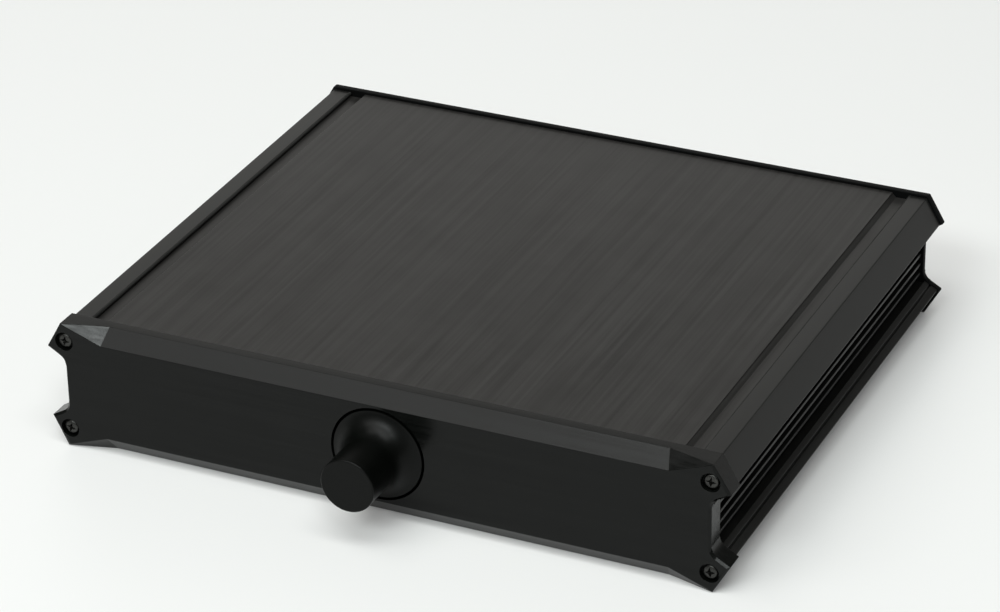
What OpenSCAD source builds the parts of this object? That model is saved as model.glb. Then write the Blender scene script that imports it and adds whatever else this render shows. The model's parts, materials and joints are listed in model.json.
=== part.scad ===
// Passive preamplifier: a low aluminium case of two finned rails, two sliding covers and two end panels,
// with a trumpet-shaped volume knob in front and stereo input and output sockets behind.
// X runs to the right as seen from the front, Y to the back and Z up, in millimetres.
// The origin lies on the surface the case stands on, under the middle of its outer box.

/* [Case] */
// Width across the tips of the ears
panel_w = 260; // [230:1:320]
// Height of the front and rear panels
panel_h = 49.3; // [46:0.1:60]
// Depth from the face of the front panel to the face of the rear panel
case_d = 216; // [170:1:300]
// Thickness of the front panel
front_t = 8.5; // [7:0.5:10]
// Thickness of the rear panel
rear_t = 2.5; // [2:0.5:4]
// How far the panels stand proud of the rails and the covers
panel_lip = 1; // [0.5:0.1:1.4]

/* [Ears] */
// Height from the tip of an ear to the panel's nearer long edge
ear_rise = 10.7; // [9:0.1:11]
// Slope of an ear's outer face, from level
ear_angle = 60; // [56:1:64]
// Depth of the waist between two ears
waist_d = 7; // [6:0.1:7.5]
// Radius where the waist turns into an ear
waist_r = 4.5; // [3:0.1:5.5]

/* [Front chamfers] */
// Height of a long chamfer on the front face
chamfer_h = 5.9; // [3:0.1:7]
// Depth of a long chamfer on the top or bottom face
chamfer_d = 4.7; // [3:0.1:6]
// Length over which a long chamfer runs out towards an ear, on the front face
chamfer_run = 16.5; // [12:0.1:22]
// The same length on the top or bottom face
chamfer_run_top = 18; // [12:0.1:22]

/* [Rails] */
// Distance from the tip of an ear in to the rail's inner face
rail_w = 14; // [13.4:0.1:16]
// Number of fins on a rail
fin_count = 5; // [3:2:5]
// Spacing of the fins
fin_pitch = 4; // [3.2:0.1:4.2]
// Thickness of a fin
fin_t = 1.4; // [1:0.1:1.8]
// Depth of the gaps between the fins
fin_d = 4.5; // [3:0.1:4.8]
// How far an ear's inner face lies inside the panel's
ear_step = 0.4; // [0.2:0.1:0.8]
// Length of an ear's inner face, from its tip to its lip
ear_face = 6.1; // [5:0.1:6.2]
// Depth of the hollow behind that lip
lip_drop = 0.8; // [0.4:0.1:1.2]
// Width of the line cut along an ear's inner face
line_w = 0.9; // [0.6:0.1:1.2]
// Depth of that line
line_d = 0.8; // [0.4:0.1:1]

/* [Covers] */
// Width of the open groove between a cover's raised field and a rail
groove_w = 6.1; // [4:0.1:8]
// Depth of that groove
groove_d = 1.8; // [1:0.1:2.6]
// Thickness of the tongue that slides into a rail
tongue_t = 2; // [1.6:0.1:2.4]
// How far the tongue reaches into a rail
tongue_in = 2; // [1.2:0.1:2.4]

/* [Screws] */
// Radius of a screw's thread
thread_r = 1.47; // [1.2:0.01:1.5]
// Radius of a screw's head
head_r = 2.75; // [2.5:0.05:2.9]
// Height of a screw's head
head_h = 2; // [1.8:0.1:2.2]
// Distance from the tip of an ear in to a screw
screw_in = 7.3; // [6.8:0.1:7.6]
// Distance from a panel's long edge to a screw
screw_drop = 7.1; // [6.4:0.1:7.4]
// How far a screw reaches into a rail
screw_reach = 10; // [6:0.5:16]

/* [Knob] */
// Radius of the knob's cap
cap_r = 10.05; // [8.5:0.05:10.5]
// Radius of the knob's flare at the panel
flare_r = 16.8; // [15.5:0.1:17.5]
// Radius of the hollow curve between the cap and the flare
flare_arc = 9; // [8:0.1:11]
// Length of the knob in front of the panel
knob_len = 23.4; // [20:0.1:28]
// Gap between the flare and the recess round it
recess_gap = 1; // [0.5:0.05:1.2]
// Depth of the recess that the flare turns in
recess_d = 3.5; // [3:0.1:4]

/* [Volume control] */
// Radius of the shaft
shaft_r = 3; // [2.6:0.05:3.15]
// Radius of the threaded bush
bush_r = 4.5; // [4.2:0.1:5]
// Width of the square housing
stack_w = 24; // [23.5:0.5:27]
// Length of each housing ring
ring_len = 8.4; // [8:0.1:11]
// Thickness of a track board
board_t = 1.6; // [1.2:0.1:2.4]
// Half the angle left out of the knob's travel
stop_half = 30; // [24:1:40]

/* [Sockets] */
// Radius of a socket's barrel
barrel_r = 4.15; // [4.1:0.01:4.2]
// Length of a socket's barrel
barrel_len = 9.5; // [8:0.1:11]
// Radius of the hole for a plug's pin
pin_hole_r = 1.6; // [1.57:0.01:1.65]
// Depth of that hole
pin_hole_len = 12; // [10:0.5:13]
// Spacing of the left and right sockets of a pair
socket_pitch = 20; // [17:0.5:26]
// Distance of each pair from the middle of the rear panel
pair_x = 52; // [42:1:58]

/* [Cables and feet] */
// Radius of a signal cable
cable_r = 1.2; // [0.8:0.05:1.6]
// Bend radius of a signal cable
cable_bend = 8; // [5:0.5:14]
// Radius of a foot pad
foot_r = 7; // [5:0.5:10]
// Gap that the feet leave under the panels
foot_clear = 0.4; // [0.2:0.1:2]
// Distance of a foot from the middle, across the case
foot_x = 92; // [70:1:96]
// Distance of a foot from the nearer end of the covers
foot_in = 24; // [14:1:40]

/* [Hidden] */
$fn = 96;

// Overcut that carries a cutting shape clear of the face it opens
cut = 2;
// Clearance of a screw in a panel
screw_clear = 0.13;
// Clearance of a thread in its tapped hole
thread_clear = 0.03;
// Clearance between pieces that slide together at assembly
slide_clear = 0.25;
// Gap left at each end of a cover
end_clear = 0.1;
// Radial clearance of the shaft in its bearings
run_clear = 0.04;
// Radial clearance of a piece pressed or seated on another
seat_clear = 0.02;
// Gap kept between turning and fixed pieces
turn_gap = 0.4;
// Radial clearance of a bush or a pin in its hole
fit_clear = 0.1;
// Radial clearance of a screw or a thread in a plain hole of the small assemblies
loose_clear = 0.05;
// Room left beyond the end of a piece that stops short of its neighbour
end_room = 0.5;

half_w = panel_w / 2;
half_h = panel_h / 2;
mid_z = foot_clear + half_h;
ear_lean = 90 - ear_angle;
ear_top_x = half_w - ear_rise / tan(ear_angle);
tip_v = half_h - ear_rise;
waist_x = half_w - waist_d;
waist_v = tip_v - waist_d * tan(ear_lean);
fillet_run = waist_r * tan(ear_angle / 2);
// Makes a corner's arc cross the line between its ends, so that it never just touches a wall
arc_inset = 0.03;
// How far past the panel's corner a chamfer's facet is aimed
runout_past = 0.5;

flange_t = 2;
washer_rim = 1.5;
socket_out = washer_rim + flange_t + barrel_len;
front_y = -case_d / 2 + (knob_len - socket_out) / 2;
rear_y = front_y + case_d;
rail_y = front_y + front_t;
rail_len = case_d - front_t - rear_t;

rail_in = half_w - rail_w;
rail_top = half_h - panel_lip;
rail_top_x = ear_top_x - panel_lip * tan(ear_angle / 2);
inward = [-cos(ear_lean), -sin(ear_lean)];
into_ear = [-cos(ear_angle), sin(ear_angle)];
rail_tip = [half_w, tip_v] - panel_lip * [sin(ear_angle), cos(ear_angle)] + ear_step * into_ear;
ear_lip = rail_tip + ear_face * inward;
line_at = 0.56;
ear_base = ear_lip.y + lip_drop;
fin_tip = waist_x - panel_lip;
fin_root = fin_tip - fin_d;
fin_last = (fin_count - 1) / 2;

ledge_v = rail_top - groove_d;
tongue_v = ledge_v - tongue_t;
cover_x = rail_in - groove_w;
tongue_x = rail_in + tongue_in;

// Panel screws: their places, the sunk seats round their heads and the cross in each head
screw_x = half_w - screw_in;
screw_v = half_h - screw_drop;
sink_r = head_r + 0.8;
sink_d = head_h + 0.4;
head_edge = head_h * 0.55;
head_dome = (pow(head_r, 2) + pow(head_h - head_edge, 2)) / (2 * (head_h - head_edge));
cross_w = head_r * 0.32;
cross_len = head_r * 1.25;
cross_d = head_h * 0.6;

// Knob and bush, measured along Z from the front panel's face
flare_len = sqrt(pow(flare_arc, 2) - pow(cap_r + flare_arc - flare_r, 2));
rim_gap = 0.7;
rim_t = recess_d - rim_gap;
cap_edge = 0.35;
nut_t = 2;
nut_r = bush_r + 2.1;
washer_t = 0.5;
washer_r = bush_r + 2.6;
bush_len = front_t - recess_d + washer_t + nut_t + end_room;
relief_r = washer_r + 1.2;
relief_z = bush_len - front_t + rim_gap;
bore_len = 15.5;
shaft_front = bore_len - end_room;
grub_r = 1.45;
grub_len = 5;
grub_z = 12;
hex_r = 0.87;

// Volume control, stacked backwards from the front panel's inner face
plate_t = 3;
plate_z = -front_t - plate_t;
board1_z = plate_z - ring_len - board_t;
ring2_z = board1_z - ring_len;
board2_z = ring2_z - board_t;
back_t = 2;
back_z = board2_z - back_t;
ring_r = stack_w / 2 - 2;
tie_at = stack_w / 2 - 2.3;
tie_r = 1;
tie_head_r = 1.8;
tie_head_h = 1.3;
tie_len = -front_t - back_z - end_room;
slot_w = 0.5;
pin_r = 1;
pin_at = 8;
pin_len = 2.5;
hub_r = shaft_r + 2.2;
rotor_r = ring_r - 1.2;
stop_r = ring_r - 0.8;
stop_t = 1.8;
stop_slack = 3;
arm_half = 10;
arm_root = hub_r - 1;
arm_mid = 270 - stop_half;
lug_half = stop_half - arm_half - stop_slack;
lug_in = hub_r + turn_gap;
lug_out = ring_r - 0.2;
lug_t = stop_t + turn_gap;
disc_t = 2;
spring_t = 0.5;
spring_w = 2.4;
spring_r = 0.8;
spring_lift = 1.4;
spring_gap = 0.3;
spring_in = shaft_r + 0.7;
spring_out = rotor_r - 1.2;
hub_len = ring_len - turn_gap - spring_t - spring_lift;
clip_t = 0.7;
clip_r = shaft_r + 1.6;
clip_neck = shaft_r - 0.6;
clip_mouth = clip_neck * 1.4;
clip_z = back_z - turn_gap - clip_t;
shaft_rear = clip_z - 0.8;
term_w = 2.4;
term_t = 0.8;
term_in = 2;
term_out = 4.5;
term_drop = 6;

// Sockets, measured along Z from the rear panel's face
thread_out_r = barrel_r - 0.15;
hole_r = thread_out_r + 1;
ring_wide = thread_out_r + 2.2;
flange_r = ring_wide - 0.4;
inner_rim = 1;
tag_t = 0.6;
tag_len = 12;
tag_w = 3;
tag_z = -rear_t - inner_rim - tag_t;
socket_nut_t = 2.5;
socket_nut_r = 6.35;
tail_z = tag_z - socket_nut_t - 1.4;
core_r = pin_hole_r + 0.5;
shell_bore = barrel_r - 0.75;
tail_bore = core_r + 0.5;
face_z = washer_rim + flange_t - end_room;
insulator_z = tail_z - 1.5;
insulator_front = socket_out - 0.3;
core_z = tail_z - 2.5;
core_front = socket_out - end_room;
solder_z = core_z - 4;

foot_t = foot_clear + panel_lip;

// Carries a section drawn in X and Z along Y
module along_y(y, len) {
    translate([0, y + len, mid_z])
        rotate([90, 0, 0])
            linear_extrude(len)
                children();
}

// Carries a shape drawn along Z out of the front panel's face, with its Y pointing up
module out_front() {
    translate([0, front_y, mid_z])
        rotate([90, 0, 0])
            children();
}

// Carries a shape drawn along Z out of the rear panel's face, with its Y pointing down
module out_back() {
    translate([0, rear_y, mid_z])
        rotate([-90, 0, 0])
            children();
}

// Repeats a shape at the four panel screws
module at_screws() {
    for (x = [-screw_x, screw_x]) {
        for (v = [-screw_v, screw_v]) {
            translate([x, v, 0])
                children();
        }
    }
}

// Repeats a shape at the sockets of both pairs for one channel, the left being the outer one
module at_channel(outer) {
    for (side = [-1, 1]) {
        translate([side * (pair_x + outer * socket_pitch / 2), 0, 0])
            children();
    }
}

// Repeats a shape at all four sockets
module at_sockets() {
    at_channel(1)
        children();
    at_channel(-1)
        children();
}

// The waist cut from the right side of a panel, with its two rounded corners
module waist_section() {
    slope = [waist_x, waist_v] + fillet_run * [cos(ear_lean), sin(ear_lean)];
    past = [half_w, tip_v] + cut * [cos(ear_lean), sin(ear_lean)];
    wall = waist_v - fillet_run;
    polygon([past, slope, [waist_x, wall], [waist_x, -wall], [slope.x, -slope.y], [past.x, -past.y]]);
    for (s = [-1, 1]) {
        translate([waist_x + waist_r, s * wall])
            circle(waist_r - arc_inset);
    }
}

// The bone-shaped outline that both panels share
module panel_section() {
    right = [[ear_top_x, half_h], [half_w, tip_v], [half_w, -tip_v], [ear_top_x, -half_h]];
    left = [for (i = [3:-1:0]) [-right[i].x, right[i].y]];
    difference() {
        polygon(concat(right, left));
        waist_section();
        mirror([1, 0])
            waist_section();
    }
}

// One long chamfer across the panel, run out by a flat facet at each end
module chamfer_cut() {
    along = [chamfer_d, chamfer_h] / norm([chamfer_d, chamfer_h]);
    low = [0, half_h - chamfer_h] - cut * along;
    high = [chamfer_d, half_h] + cut * along;
    intersection() {
        translate([-half_w, front_y, mid_z])
            rotate([90, 0, 90])
                linear_extrude(panel_w)
                    polygon([low, high, [-cut, half_h + cut]]);
        runout_side();
        mirror([1, 0, 0])
            runout_side();
    }
}

// All that lies in front of the right-hand facet, which rises from the chamfer to the panel's corner
module runout_side() {
    n = [-chamfer_d * chamfer_h, -chamfer_run_top * chamfer_h, chamfer_run * chamfer_d];
    translate([ear_top_x + runout_past, front_y, mid_z + half_h])
        rotate([0, acos(n.z / norm(n)), atan2(n.y, n.x)])
            translate([-panel_w, -panel_w, 0])
                cube([2 * panel_w, 2 * panel_w, panel_w]);
}

// The milled front panel: ears, chamfers, knob recess, bush hole and sunk screw holes
module front_panel() {
    color([0.10, 0.10, 0.10])
        difference() {
            along_y(front_y, front_t)
                panel_section();
            chamfer_cut();
            translate([0, 0, 2 * mid_z])
                mirror([0, 0, 1])
                    chamfer_cut();
            out_front() {
                translate([0, 0, -recess_d])
                    cylinder(r = flare_r + recess_gap, h = recess_d + cut);
                translate([0, 0, -front_t - cut])
                    cylinder(r = bush_r + fit_clear, h = front_t + cut);
                translate([pin_at, 0, -front_t - cut])
                    cylinder(r = pin_r + fit_clear, h = pin_len + end_room + cut);
                at_screws() {
                    translate([0, 0, -sink_d])
                        cylinder(r = sink_r, h = sink_d + cut);
                    translate([0, 0, -front_t - cut])
                        cylinder(r = thread_r + screw_clear, h = front_t + cut);
                }
            }
        }
}

// The plain rear panel, drilled for the sockets and its screws
module rear_panel() {
    color([0.07, 0.07, 0.07])
        difference() {
            along_y(rear_y - rear_t, rear_t)
                panel_section();
            out_back() {
                at_sockets()
                    translate([0, 0, -rear_t - cut])
                        cylinder(r = hole_r, h = rear_t + 2 * cut);
                at_screws()
                    translate([0, 0, -rear_t - cut])
                        cylinder(r = thread_r + screw_clear, h = rear_t + 2 * cut);
            }
        }
}

// A rail's extruded section: cover slots, ears with a cut line, and the finned waist between them
module rail_section() {
    line = rail_tip + line_at * ear_face * inward;
    ear = [
        [rail_in, tongue_v],
        [tongue_x + slide_clear, tongue_v],
        [tongue_x + slide_clear, ledge_v + slide_clear],
        [rail_in, ledge_v + slide_clear],
        [rail_in, rail_top],
        [rail_top_x, rail_top],
        rail_tip,
        line - line_w / 2 * inward,
        line + line_d * into_ear,
        line + line_w / 2 * inward,
        ear_lip,
        [ear_lip.x, ear_base],
        [fin_root, ear_base]
    ];
    fins = [
        for (k = [fin_last:-1:-fin_last])
            for (p = [[fin_root, 1], [fin_tip, 1], [fin_tip, -1], [fin_root, -1]])
                [p.x, k * fin_pitch + p.y * fin_t / 2]
    ];
    low_ear = [for (i = [len(ear) - 1:-1:0]) [ear[i].x, -ear[i].y]];
    polygon(concat(ear, fins, low_ear));
}

module rail() {
    difference() {
        along_y(rail_y, rail_len)
            rail_section();
        for (v = [-screw_v, screw_v]) {
            translate([screw_x, rail_y - cut, mid_z + v])
                rotate([-90, 0, 0])
                    cylinder(r = thread_r + thread_clear, h = rail_len + 2 * cut);
        }
    }
}

module right_rail() {
    color([0.17, 0.17, 0.17])
        rail();
}

module left_rail() {
    color([0.17, 0.17, 0.17])
        mirror([1, 0, 0])
            rail();
}

// A cover's section: a raised field between two tongues that slide into the rails
module cover_section() {
    polygon([
        [cover_x, rail_top],
        [cover_x, ledge_v],
        [tongue_x, ledge_v],
        [tongue_x, tongue_v],
        [-tongue_x, tongue_v],
        [-tongue_x, ledge_v],
        [-cover_x, ledge_v],
        [-cover_x, rail_top]
    ]);
}

module top_cover() {
    color([0.22, 0.22, 0.22])
        along_y(rail_y + end_clear, rail_len - 2 * end_clear)
            cover_section();
}

module bottom_cover() {
    color([0.20, 0.20, 0.20])
        along_y(rail_y + end_clear, rail_len - 2 * end_clear)
            mirror([0, 1])
                cover_section();
}

// A pan-head screw with a crossed recess, seated at Z = 0 with its head upwards
module pan_screw(len) {
    difference() {
        union() {
            intersection() {
                cylinder(r = head_r, h = head_h);
                translate([0, 0, head_h - head_dome])
                    sphere(head_dome);
            }
            translate([0, 0, -len])
                cylinder(r = thread_r, h = len);
        }
        for (a = [0, 90]) {
            rotate([0, 0, a])
                translate([-cross_len / 2, -cross_w / 2, head_h - cross_d])
                    cube([cross_len, cross_w, cross_d + cut]);
        }
    }
}

module front_screws() {
    color([0.30, 0.30, 0.30])
        out_front()
            at_screws()
                translate([0, 0, -sink_d])
                    pan_screw(front_t - sink_d + screw_reach);
}

module rear_screws() {
    color([0.30, 0.30, 0.30])
        out_back()
            at_screws()
                pan_screw(rear_t + screw_reach);
}

module foot_pads() {
    color([0.05, 0.05, 0.05])
        for (x = [-foot_x, foot_x]) {
            for (y = [rail_y + foot_in, rail_y + rail_len - foot_in]) {
                translate([x, y, 0])
                    cylinder(r = foot_r, h = foot_t);
            }
        }
}

// Half of the knob's turned section: the rim, the hollow curve up to the cap, and the cap's broken edge
module knob_section() {
    difference() {
        polygon([
            [0, -rim_t],
            [flare_r, -rim_t],
            [flare_r, flare_len],
            [cap_r, flare_len],
            [cap_r, knob_len - cap_edge],
            [cap_r - cap_edge, knob_len],
            [0, knob_len]
        ]);
        translate([cap_r + flare_arc, flare_len])
            circle(flare_arc);
    }
}

// The turned knob: a straight cap, a hollow curve out to the flare, and a blind bore for the shaft
module volume_knob() {
    color([0.09, 0.09, 0.09])
        out_front()
            difference() {
                rotate_extrude()
                    knob_section();
                translate([0, 0, -rim_t - cut])
                    cylinder(r = relief_r, h = rim_t + cut + relief_z);
                cylinder(r = shaft_r + seat_clear, h = bore_len);
                translate([0, 0, grub_z])
                    rotate([90, 0, 0])
                        cylinder(r = grub_r + thread_clear, h = cap_r + cut);
            }
}

module knob_grub_screw() {
    color([0.35, 0.35, 0.36])
        out_front()
            translate([0, -shaft_r - seat_clear, grub_z])
                rotate([90, 0, 0])
                    difference() {
                        cylinder(r = grub_r, h = grub_len);
                        translate([0, 0, grub_len / 2])
                            cylinder(r = hex_r, h = grub_len, $fn = 6);
                    }
}

// The shaft that carries the knob in front and both rotors behind, with a groove for its clip
module control_shaft() {
    color([0.72, 0.72, 0.74])
        out_front()
            difference() {
                translate([0, 0, shaft_rear])
                    cylinder(r = shaft_r, h = shaft_front - shaft_rear);
                translate([0, 0, clip_z])
                    difference() {
                        cylinder(r = shaft_r + cut, h = clip_t);
                        cylinder(r = clip_neck, h = clip_t);
                    }
            }
}

// The open ring that snaps into the shaft's groove and holds the shaft in its bearings
module shaft_clip() {
    color([0.45, 0.45, 0.47])
        out_front()
            translate([0, 0, clip_z + seat_clear])
                difference() {
                    cylinder(r = clip_r, h = clip_t - 2 * seat_clear);
                    translate([0, 0, -cut])
                        cylinder(r = clip_neck + seat_clear, h = clip_t + 2 * cut);
                    translate([-clip_mouth / 2, 0, -cut])
                        cube([clip_mouth, clip_r + cut, clip_t + 2 * cut]);
                }
}

// Repeats a shape at the four screws that tie the housing together
module at_ties() {
    for (x = [-tie_at, tie_at]) {
        for (y = [-tie_at, tie_at]) {
            translate([x, y, 0])
                children();
        }
    }
}

module tie_holes(z, h) {
    at_ties()
        translate([0, 0, z])
            cylinder(r = tie_r + loose_clear, h = h);
}

module square_plate(z, h) {
    translate([-stack_w / 2, -stack_w / 2, z])
        cube([stack_w, stack_w, h]);
}

// A block cut from a ring, between two angles
module sector(r_in, r_out, from, to, h) {
    rotate([0, 0, from])
        rotate_extrude(angle = to - from)
            translate([r_in, 0])
                square([r_out - r_in, h]);
}

// The front plate of the volume control, with its threaded bush, locating pin and travel stop
module bush_plate() {
    color([0.62, 0.62, 0.63])
        out_front()
            difference() {
                union() {
                    square_plate(plate_z, plate_t);
                    translate([0, 0, -front_t])
                        cylinder(r = bush_r, h = bush_len);
                    translate([pin_at, 0, -front_t])
                        cylinder(r = pin_r, h = pin_len);
                    translate([0, 0, plate_z - lug_t])
                        sector(lug_in, lug_out, 270 - lug_half, 270 + lug_half, lug_t);
                }
                translate([0, 0, plate_z - cut])
                    cylinder(r = shaft_r + run_clear, h = plate_t + bush_len + 2 * cut);
                tie_holes(plate_z - cut, plate_t + 2 * cut);
            }
}

module bush_washer() {
    color([0.60, 0.60, 0.62])
        out_front()
            translate([0, 0, -recess_d])
                difference() {
                    cylinder(r = washer_r, h = washer_t);
                    translate([0, 0, -cut])
                        cylinder(r = bush_r + fit_clear, h = washer_t + 2 * cut);
                }
}

module bush_nut() {
    color([0.66, 0.66, 0.68])
        out_front()
            translate([0, 0, washer_t - recess_d])
                difference() {
                    cylinder(r = nut_r, h = nut_t, $fn = 6);
                    translate([0, 0, -cut])
                        cylinder(r = bush_r + seat_clear, h = nut_t + 2 * cut);
                }
}

// A square housing ring round one rotor
module housing(z) {
    out_front()
        difference() {
            square_plate(z, ring_len);
            translate([0, 0, z - cut])
                cylinder(r = ring_r, h = ring_len + 2 * cut);
            tie_holes(z - cut, ring_len + 2 * cut);
        }
}

module front_housing() {
    color([0.16, 0.22, 0.30])
        housing(plate_z - ring_len);
}

module rear_housing() {
    color([0.16, 0.22, 0.30])
        housing(ring2_z);
}

// Places one terminal's outline on a board: the input and its return on the right, the wiper on the left
module at_terminals() {
    for (p = [[1, 0], [1, -term_drop], [-1, 0]]) {
        translate([p.x * stack_w / 2, p.y, 0])
            mirror([p.x < 0 ? 1 : 0, 0, 0])
                children();
    }
}

// A board that carries one resistive track, notched for its terminals
module track_board(z) {
    out_front()
        difference() {
            square_plate(z, board_t);
            translate([0, 0, z - cut])
                cylinder(r = shaft_r + turn_gap, h = board_t + 2 * cut);
            tie_holes(z - cut, board_t + 2 * cut);
            at_terminals()
                translate([-term_in, -term_w / 2, z - cut])
                    cube([term_in + cut, term_w, board_t + 2 * cut]);
        }
}

module front_track_board() {
    color([0.45, 0.28, 0.12])
        track_board(board1_z);
}

module rear_track_board() {
    color([0.45, 0.28, 0.12])
        track_board(board2_z);
}

module track_terminals() {
    color([0.80, 0.78, 0.70])
        out_front()
            for (z = [board1_z, board2_z]) {
                at_terminals()
                    translate([-term_in, -term_w / 2, z + (board_t - term_t) / 2])
                        cube([term_in + term_out, term_w, term_t]);
            }
}

module bearing_plate() {
    color([0.60, 0.60, 0.62])
        out_front()
            difference() {
                square_plate(back_z, back_t);
                translate([0, 0, back_z - cut])
                    cylinder(r = shaft_r + run_clear, h = back_t + 2 * cut);
                tie_holes(back_z - cut, back_t + 2 * cut);
            }
}

// Slotted screws that run through the whole stack from behind
module tie_screws() {
    color([0.70, 0.70, 0.72])
        out_front()
            at_ties()
                translate([0, 0, back_z - tie_head_h])
                    difference() {
                        union() {
                            cylinder(r = tie_head_r, h = tie_head_h);
                            translate([0, 0, tie_head_h])
                                cylinder(r = tie_r, h = tie_len);
                        }
                        translate([-tie_head_r - cut, -slot_w / 2, -cut])
                            cube([2 * tie_head_r + 2 * cut, slot_w, cut + tie_head_h / 2]);
                    }
}

// A rotor: a hub on the shaft and a disc behind it that carries the wiper spring
module rotor(z) {
    difference() {
        union() {
            translate([0, 0, z - turn_gap - hub_len])
                cylinder(r = hub_r, h = hub_len);
            translate([0, 0, z - turn_gap - hub_len])
                cylinder(r = rotor_r, h = disc_t);
            children();
        }
        translate([0, 0, z - ring_len])
            cylinder(r = shaft_r + seat_clear, h = ring_len + cut);
    }
}

module front_rotor() {
    color([0.88, 0.86, 0.80])
        out_front()
            rotor(plate_z)
                translate([0, 0, plate_z - turn_gap - stop_t])
                    sector(arm_root, stop_r, arm_mid - arm_half, arm_mid + arm_half, stop_t);
}

module rear_rotor() {
    color([0.88, 0.86, 0.80])
        out_front()
            rotor(board1_z);
}

// Spring fingers on the rotors, whose rounded ends ride just clear of the tracks
module wiper_springs() {
    color([0.80, 0.62, 0.28])
        out_front()
            for (z = [plate_z - ring_len, ring2_z]) {
                translate([0, 0, z])
                    rotate([0, 0, arm_mid]) {
                        translate([spring_in, -spring_w / 2, spring_lift])
                            cube([spring_out - spring_in, spring_w, spring_t]);
                        translate([spring_out - spring_r, 0, spring_gap])
                            cylinder(r = spring_r, h = spring_lift - spring_gap);
                    }
            }
}

// A socket's metal shell: threaded tail, flange and the barrel that a plug slides over
module socket_shells() {
    color([0.83, 0.66, 0.32])
        out_back()
            at_sockets()
                difference() {
                    union() {
                        translate([0, 0, tail_z])
                            cylinder(r = thread_out_r, h = washer_rim - tail_z);
                        translate([0, 0, washer_rim])
                            cylinder(r = flange_r, h = flange_t);
                        translate([0, 0, washer_rim + flange_t])
                            cylinder(r = barrel_r, h = barrel_len);
                    }
                    translate([0, 0, tail_z - cut])
                        cylinder(r = tail_bore, h = socket_out - tail_z + 2 * cut);
                    translate([0, 0, face_z])
                        cylinder(r = shell_bore, h = socket_out);
                }
}

// The sleeve that holds a socket's contact clear of its shell
module socket_insulators() {
    color([0.93, 0.93, 0.90])
        out_back()
            at_sockets()
                difference() {
                    union() {
                        translate([0, 0, face_z])
                            cylinder(r = shell_bore - seat_clear, h = insulator_front - face_z);
                        translate([0, 0, insulator_z])
                            cylinder(r = tail_bore - seat_clear, h = face_z - insulator_z);
                    }
                    translate([0, 0, insulator_z - cut])
                        cylinder(r = core_r + seat_clear, h = insulator_front - insulator_z + 2 * cut);
                }
}

// A socket's centre contact: a blind tube for the plug's pin and a solder tail
module socket_contacts() {
    color([0.85, 0.69, 0.36])
        out_back()
            at_sockets()
                difference() {
                    union() {
                        translate([0, 0, core_z])
                            cylinder(r = core_r, h = core_front - core_z);
                        translate([0, 0, solder_z])
                            cylinder(r = cable_r, h = core_z - solder_z);
                    }
                    translate([0, 0, core_front - pin_hole_len])
                        cylinder(r = pin_hole_r, h = pin_hole_len + cut);
                }
}

// A shouldered washer that keeps a socket clear of the panel
module shoulder_washer() {
    difference() {
        union() {
            cylinder(r = ring_wide, h = washer_rim);
            translate([0, 0, end_clear - rear_t])
                cylinder(r = hole_r - fit_clear, h = rear_t - end_clear);
        }
        translate([0, 0, -rear_t - cut])
            cylinder(r = thread_out_r + loose_clear, h = rear_t + washer_rim + 2 * cut);
    }
}

module left_channel_washers() {
    color([0.88, 0.88, 0.86])
        out_back()
            at_channel(1)
                shoulder_washer();
}

module right_channel_washers() {
    color([0.62, 0.08, 0.07])
        out_back()
            at_channel(-1)
                shoulder_washer();
}

module inner_washers() {
    color([0.15, 0.15, 0.15])
        out_back()
            at_sockets()
                translate([0, 0, -rear_t - inner_rim])
                    difference() {
                        cylinder(r = ring_wide, h = inner_rim);
                        translate([0, 0, -cut])
                            cylinder(r = thread_out_r + loose_clear, h = inner_rim + 2 * cut);
                    }
}

// Ring tags under the nuts, each with an arm for the return wire
module earth_tags() {
    color([0.80, 0.78, 0.70])
        out_back()
            at_sockets()
                translate([0, 0, tag_z])
                    difference() {
                        union() {
                            cylinder(r = flange_r, h = tag_t);
                            translate([-tag_w / 2, 0, 0])
                                cube([tag_w, tag_len, tag_t]);
                        }
                        translate([0, 0, -cut])
                            cylinder(r = thread_out_r + loose_clear, h = tag_t + 2 * cut);
                        translate([0, tag_len - tag_w / 2, -cut])
                            cylinder(r = tag_w / 4, h = tag_t + 2 * cut);
                    }
}

module socket_nuts() {
    color([0.83, 0.66, 0.32])
        out_back()
            at_sockets()
                translate([0, 0, tag_z - socket_nut_t])
                    difference() {
                        cylinder(r = socket_nut_r, h = socket_nut_t, $fn = 6);
                        translate([0, 0, -cut])
                            cylinder(r = thread_out_r + seat_clear, h = socket_nut_t + 2 * cut);
                    }
}

// A cable from a socket's solder tail forward, round one bend and across to a terminal
module lead(x, z) {
    y = front_y - z - board_t / 2;
    start_x = stack_w / 2 + term_out;
    translate([start_x, y, mid_z])
        rotate([0, 90, 0])
            cylinder(r = cable_r, h = x - cable_bend - start_x);
    translate([x - cable_bend, y + cable_bend, mid_z])
        rotate([0, 0, -90])
            rotate_extrude(angle = 90)
                translate([cable_bend, 0])
                    circle(cable_r);
    translate([x, y + cable_bend, mid_z])
        rotate([-90, 0, 0])
            cylinder(r = cable_r, h = rear_y + solder_z - y - cable_bend);
}

// The outer socket of a pair feeds the front track and the inner one the rear track
module lead_pair() {
    lead(pair_x + socket_pitch / 2, board1_z);
    lead(pair_x - socket_pitch / 2, board2_z);
}

module input_cables() {
    color([0.20, 0.20, 0.21])
        lead_pair();
}

module output_cables() {
    color([0.20, 0.20, 0.21])
        mirror([1, 0, 0])
            lead_pair();
}

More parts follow.
